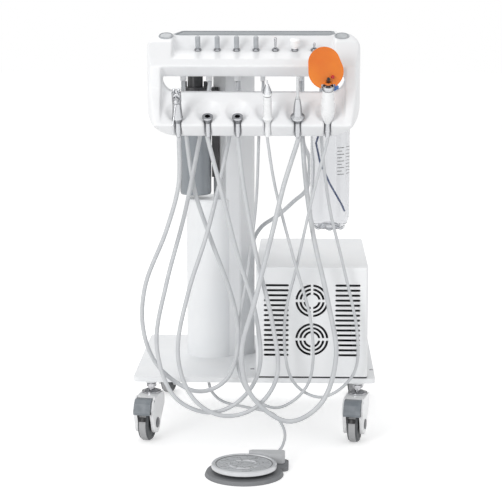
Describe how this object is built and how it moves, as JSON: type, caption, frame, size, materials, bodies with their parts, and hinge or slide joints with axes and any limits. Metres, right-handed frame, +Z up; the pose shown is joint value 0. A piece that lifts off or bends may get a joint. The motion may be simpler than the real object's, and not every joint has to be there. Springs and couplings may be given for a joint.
{
  "type": "portable dental unit",
  "caption": "Dental treatment unit on casters: boxed compressor, column, moulded instrument head with tray, bottles, hoses and a foot pedal.",
  "frame": {"origin": "on the floor, under the middle of the whole object's box, pedal and rear casters included", "axes": "+X to the user's right, +Y away from the user towards the back of the unit, +Z up"},
  "size_m": [0.49, 0.7303, 0.8237],
  "materials": {
    "white_painted": "satin powder coat",
    "caster_metal": "bright",
    "caster_shell": "satin",
    "tyre": "matte",
    "brake_grey": "satin",
    "column_grey": "satin anodised",
    "tank": "satin",
    "black_rubber": "matte",
    "pump_iron": "as cast",
    "fan_black": "matte",
    "white_moulding": "satin gloss",
    "grey_mat": "matte",
    "grey_plastic": "satin",
    "bright_metal": "polished",
    "white_plastic": "gloss",
    "dark_clear": "dark translucent",
    "black_plastic": "satin",
    "clear_plastic": "clear",
    "blue_plastic": "satin",
    "tube_clear": "translucent",
    "orange_shield": "translucent",
    "pedal_rubber": "matte",
    "pedal_metal": "brushed",
    "hose_grey": "smooth"
  },
  "bodies": {
    "unit": {"base_plate": "white_painted", "caster_stems": "caster_metal", "column": "column_grey", "pump_cover": "white_painted", "air_tank": "tank", "compressor_case": "white_painted", "case_gasket": "black_rubber", "compressor_pump": "pump_iron", "fan_frames": "fan_black", "head_shell": "white_moulding", "head_floor": "white_moulding", "tray_mat": "grey_mat", "corner_caps": "grey_plastic", "control_nuts": "bright_metal", "waste_bottle": "dark_clear", "waste_lid": "black_plastic", "water_bottle": "clear_plastic", "water_cap": "blue_plastic", "water_tubes": "tube_clear", "pedal_base": "pedal_rubber", "hose_syringe": "hose_grey", "hose_handpiece_1": "hose_grey", "hose_handpiece_2": "hose_grey", "hose_scaler": "hose_grey", "hose_suction": "hose_grey", "hose_light": "hose_grey", "hose_supply": "hose_grey", "hose_pedal": "hose_grey"},
    "caster_fl": {"caster_hood_fl": "caster_shell"},
    "wheel_fl": {"caster_wheel_fl": "tyre"},
    "brake_fl": {"brake_lever_fl": "brake_grey"},
    "caster_fr": {"caster_hood_fr": "caster_shell"},
    "wheel_fr": {"caster_wheel_fr": "tyre"},
    "brake_fr": {"brake_lever_fr": "brake_grey"},
    "caster_rl": {"caster_hood_rl": "caster_shell"},
    "wheel_rl": {"caster_wheel_rl": "tyre"},
    "caster_rr": {"caster_hood_rr": "caster_shell"},
    "wheel_rr": {"caster_wheel_rr": "tyre"},
    "water_knob_1": {"water_knob_1": "grey_plastic"},
    "water_knob_2": {"water_knob_2": "grey_plastic"},
    "water_knob_3": {"water_knob_3": "grey_plastic"},
    "water_knob_4": {"water_knob_4": "grey_plastic"},
    "power_toggle": {"power_toggle": "bright_metal"},
    "pressure_knob": {"pressure_knob": "white_plastic"},
    "bottle_toggle": {"bottle_toggle": "bright_metal"},
    "syringe": {"syringe_body": "bright_metal"},
    "handpiece_1": {"coupling_1": "bright_metal"},
    "handpiece_2": {"coupling_2": "bright_metal"},
    "scaler": {"scaler": "white_plastic"},
    "suction": {"suction_valve": "bright_metal", "suction_tip": "tube_clear"},
    "light": {"light_body": "white_plastic"},
    "syringe_nozzle": {"syringe_nozzle": "bright_metal"},
    "air_button": {"syringe_air_button": "bright_metal"},
    "water_button": {"syringe_water_button": "bright_metal"},
    "suction_lever": {"suction_lever": "bright_metal"},
    "light_shield": {"light_shield": "orange_shield"},
    "rotor_lower": {"fan_rotor_lower": "fan_black"},
    "rotor_upper": {"fan_rotor_upper": "fan_black"},
    "pedal": {"pedal_disc": "pedal_metal"}
  },
  "joints": [
    {"name": "caster_fl_swivel", "type": "hinge", "parent": "unit", "child": "caster_fl", "pos_m": [-0.211, -0.03377, 0.093], "axis": [0, 0, 1], "continuous": true},
    {"name": "wheel_fl_roll", "type": "hinge", "parent": "caster_fl", "child": "wheel_fl", "pos_m": [-0.21703, -0.06214, 0.0375], "axis": [0.9781, -0.2079, 0], "continuous": true},
    {"name": "brake_fl_tilt", "type": "hinge", "parent": "caster_fl", "child": "brake_fl", "pos_m": [-0.22098, -0.08072, 0.086], "axis": [0.9781, -0.2079, 0], "range_deg": [0, 12]},
    {"name": "caster_fr_swivel", "type": "hinge", "parent": "unit", "child": "caster_fr", "pos_m": [0.211, -0.03377, 0.093], "axis": [0, 0, 1], "continuous": true},
    {"name": "wheel_fr_roll", "type": "hinge", "parent": "caster_fr", "child": "wheel_fr", "pos_m": [0.20497, -0.06214, 0.0375], "axis": [0.9781, -0.2079, 0], "continuous": true},
    {"name": "brake_fr_tilt", "type": "hinge", "parent": "caster_fr", "child": "brake_fr", "pos_m": [0.20102, -0.08072, 0.086], "axis": [0.9781, -0.2079, 0], "range_deg": [0, 12]},
    {"name": "caster_rl_swivel", "type": "hinge", "parent": "unit", "child": "caster_rl", "pos_m": [-0.211, 0.29823, 0.093], "axis": [0, 0, 1], "continuous": true},
    {"name": "wheel_rl_roll", "type": "hinge", "parent": "caster_rl", "child": "wheel_rl", "pos_m": [-0.20497, 0.3266, 0.0375], "axis": [-0.9781, 0.2079, 0], "continuous": true},
    {"name": "caster_rr_swivel", "type": "hinge", "parent": "unit", "child": "caster_rr", "pos_m": [0.211, 0.29823, 0.093], "axis": [0, 0, 1], "continuous": true},
    {"name": "wheel_rr_roll", "type": "hinge", "parent": "caster_rr", "child": "wheel_rr", "pos_m": [0.21703, 0.3266, 0.0375], "axis": [-0.9781, 0.2079, 0], "continuous": true},
    {"name": "water_knob_1_turn", "type": "hinge", "parent": "unit", "child": "water_knob_1", "pos_m": [-0.1077, -0.09877, 0.79175], "axis": [0, -0.3251, 0.9457], "range_deg": [-135, 135]},
    {"name": "water_knob_2_turn", "type": "hinge", "parent": "unit", "child": "water_knob_2", "pos_m": [-0.0702, -0.09877, 0.79175], "axis": [0, -0.3251, 0.9457], "range_deg": [-135, 135]},
    {"name": "water_knob_3_turn", "type": "hinge", "parent": "unit", "child": "water_knob_3", "pos_m": [-0.0327, -0.09877, 0.79175], "axis": [0, -0.3251, 0.9457], "range_deg": [-135, 135]},
    {"name": "water_knob_4_turn", "type": "hinge", "parent": "unit", "child": "water_knob_4", "pos_m": [0.0048, -0.09877, 0.79175], "axis": [0, -0.3251, 0.9457], "range_deg": [-135, 135]},
    {"name": "power_toggle_tilt", "type": "hinge", "parent": "unit", "child": "power_toggle", "pos_m": [0.0423, -0.09877, 0.79175], "axis": [1, 0, 0], "range_deg": [-12, 12]},
    {"name": "pressure_knob_turn", "type": "hinge", "parent": "unit", "child": "pressure_knob", "pos_m": [0.0798, -0.09877, 0.79175], "axis": [0, -0.3251, 0.9457], "range_deg": [-135, 135]},
    {"name": "bottle_toggle_tilt", "type": "hinge", "parent": "unit", "child": "bottle_toggle", "pos_m": [0.1173, -0.09877, 0.79175], "axis": [1, 0, 0], "range_deg": [-12, 12]},
    {"name": "syringe_lift", "type": "slide", "parent": "unit", "child": "syringe", "axis": [0, -0.5, 0.866], "range_m": [0, 0.03]},
    {"name": "handpiece_1_lift", "type": "slide", "parent": "unit", "child": "handpiece_1", "axis": [0, -0.5, 0.866], "range_m": [0, 0.03]},
    {"name": "handpiece_2_lift", "type": "slide", "parent": "unit", "child": "handpiece_2", "axis": [0, -0.5, 0.866], "range_m": [0, 0.03]},
    {"name": "scaler_lift", "type": "slide", "parent": "unit", "child": "scaler", "axis": [0, -0.5, 0.866], "range_m": [0, 0.03]},
    {"name": "suction_lift", "type": "slide", "parent": "unit", "child": "suction", "axis": [0, -0.5, 0.866], "range_m": [0, 0.03]},
    {"name": "light_lift", "type": "slide", "parent": "unit", "child": "light", "axis": [0, -0.5, 0.866], "range_m": [0, 0.03]},
    {"name": "nozzle_turn", "type": "hinge", "parent": "syringe", "child": "syringe_nozzle", "pos_m": [-0.14325, -0.18827, 0.7071], "axis": [0, -0.866, -0.5], "continuous": true},
    {"name": "air_button_press", "type": "slide", "parent": "syringe", "child": "air_button", "axis": [0, -0.5, 0.866], "range_m": [-0.0025, 0], "stiffness_N_per_m": 400, "springref_m": 0.001},
    {"name": "water_button_press", "type": "slide", "parent": "syringe", "child": "water_button", "axis": [0, -0.5, 0.866], "range_m": [-0.0025, 0], "stiffness_N_per_m": 400, "springref_m": 0.001},
    {"name": "suction_lever_tilt", "type": "hinge", "parent": "suction", "child": "suction_lever", "pos_m": [0.08595, -0.16236, 0.68222], "axis": [1, 0, 0], "range_deg": [-60, 0]},
    {"name": "shield_turn", "type": "hinge", "parent": "light", "child": "light_shield", "pos_m": [0.14325, -0.20377, 0.73395], "axis": [0, -0.5, 0.866], "range_deg": [-40, 40]},
    {"name": "fan_lower_spin", "type": "hinge", "parent": "unit", "child": "rotor_lower", "pos_m": [0.1165, -0.05447, 0.212], "axis": [0, 1, 0], "continuous": true},
    {"name": "fan_upper_spin", "type": "hinge", "parent": "unit", "child": "rotor_upper", "pos_m": [0.1165, -0.05447, 0.291], "axis": [0, 1, 0], "continuous": true},
    {"name": "pedal_press", "type": "slide", "parent": "unit", "child": "pedal", "axis": [0, 0, 1], "range_m": [-0.004, 0], "stiffness_N_per_m": 2500, "springref_m": 0.004}
  ]
}
